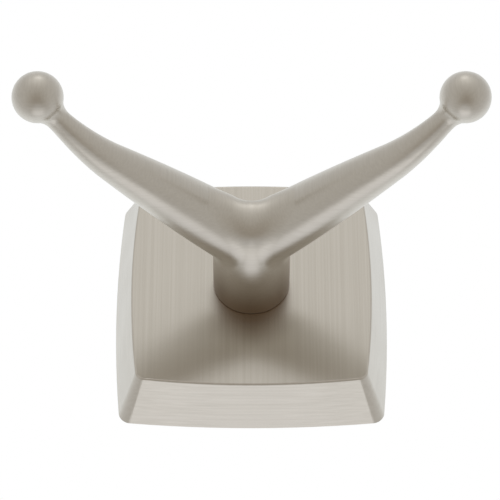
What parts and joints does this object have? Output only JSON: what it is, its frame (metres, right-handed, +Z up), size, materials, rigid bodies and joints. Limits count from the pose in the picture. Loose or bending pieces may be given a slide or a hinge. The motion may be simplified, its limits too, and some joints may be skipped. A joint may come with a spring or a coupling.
{
  "type": "robe hook",
  "caption": "Double robe hook: square bowed backplate, round post and tapering arms spread in a V with ball tips, for hanging robes and towels on a wall.",
  "frame": {"origin": "centre of the wall bracket's back face, on the wall and on the post's axis, midway between the two wall screw holes", "axes": "+X to the right seen from the front, along the spread of the arms; +Y into the wall; +Z up, the way the ball tips rise"},
  "size_m": [0.105, 0.0819, 0.065],
  "materials": {
    "hook_metal": "satin nickel, softly polished",
    "plate_metal": "satin nickel, brushed in fine upright lines",
    "plated_steel": "bright zinc plating",
    "spring_steel": "dark oiled steel"
  },
  "bodies": {
    "root": {"hook": "hook_metal", "backplate": "plate_metal", "post_screw": "plated_steel", "flat_washer": "plated_steel", "lock_washer": "spring_steel", "wall_bracket": "plated_steel", "set_screw": "spring_steel"}
  },
  "joints": []
}
